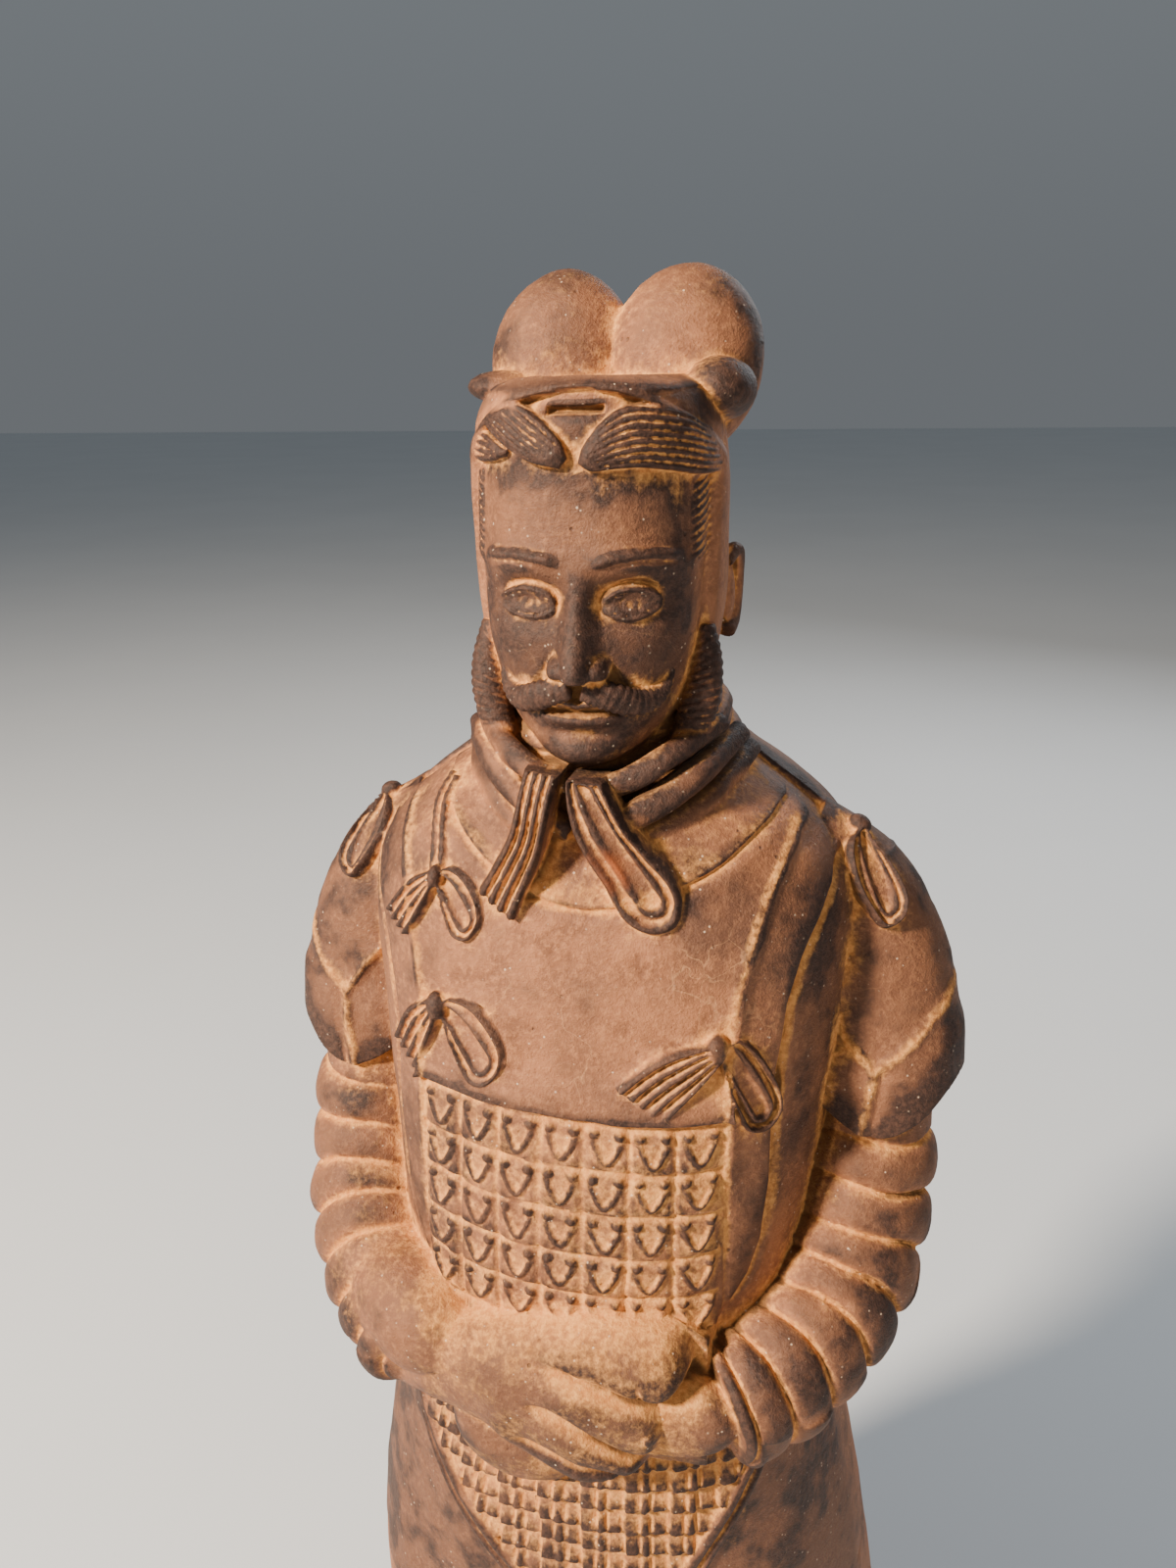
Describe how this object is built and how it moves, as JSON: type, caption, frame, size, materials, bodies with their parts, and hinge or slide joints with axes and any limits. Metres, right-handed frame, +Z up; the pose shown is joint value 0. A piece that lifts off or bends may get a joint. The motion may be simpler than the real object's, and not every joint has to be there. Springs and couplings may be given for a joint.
{
  "type": "terracotta warrior statuette",
  "caption": "Standing armoured officer in fired clay on a low slab: lobed cap, scarf, cord bows, plate armour, puffed sleeves and folded hands.",
  "frame": {"origin": "centre of the slab's underside, under the figure's feet", "axes": "+Z up the figure, -Y the way it faces, +X towards its left hand side"},
  "size_m": [0.1378, 0.1017, 0.4092],
  "materials": {
    "terracotta": "unglazed fired clay, dark brown on raised forms with ochre dust in the recesses"
  },
  "bodies": {
    "root": {"warrior": "terracotta"}
  },
  "joints": []
}
